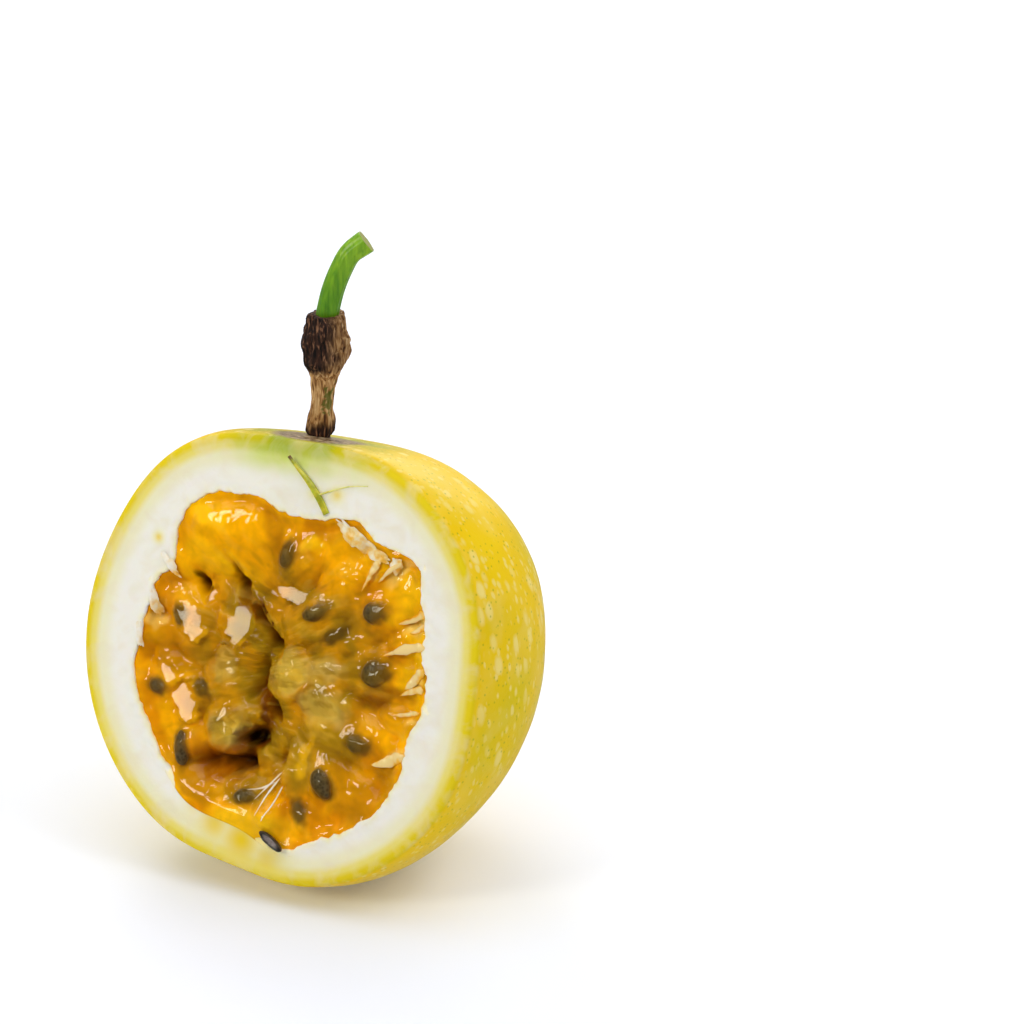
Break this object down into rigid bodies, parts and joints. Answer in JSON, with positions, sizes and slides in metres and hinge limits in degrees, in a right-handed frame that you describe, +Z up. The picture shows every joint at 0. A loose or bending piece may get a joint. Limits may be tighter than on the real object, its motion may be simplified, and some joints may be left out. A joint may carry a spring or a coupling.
{
  "type": "passion fruit",
  "caption": "Yellow passion fruit with its front cut away, showing thick white pith around wet orange pulp with dark seeds, under a dry stalk with a green end.",
  "frame": {"origin": "middle of the small flat spot that the fruit stands on", "axes": "+Z up, towards the stalk; -Y is where the cut face looks, leaning back; +X to the right across the cut face"},
  "size_m": [0.075, 0.0569, 0.1046],
  "materials": {
    "rind": "waxy yellow-green skin with pale flecks, matt white pith where it is cut",
    "pith": "spongy and matt, white",
    "pulp": "wet, orange to olive gold, with dark grey seeds",
    "seed": "hard, dark grey to black, wet",
    "stalk_dry": "dry, cracked and matt, tan to dark brown",
    "stalk_green": "fresh, smooth and slightly glossy"
  },
  "bodies": {
    "root": {"rind": "rind", "pulp": "pulp", "stalk_dry": "stalk_dry", "stalk_green": "stalk_green"}
  },
  "joints": []
}
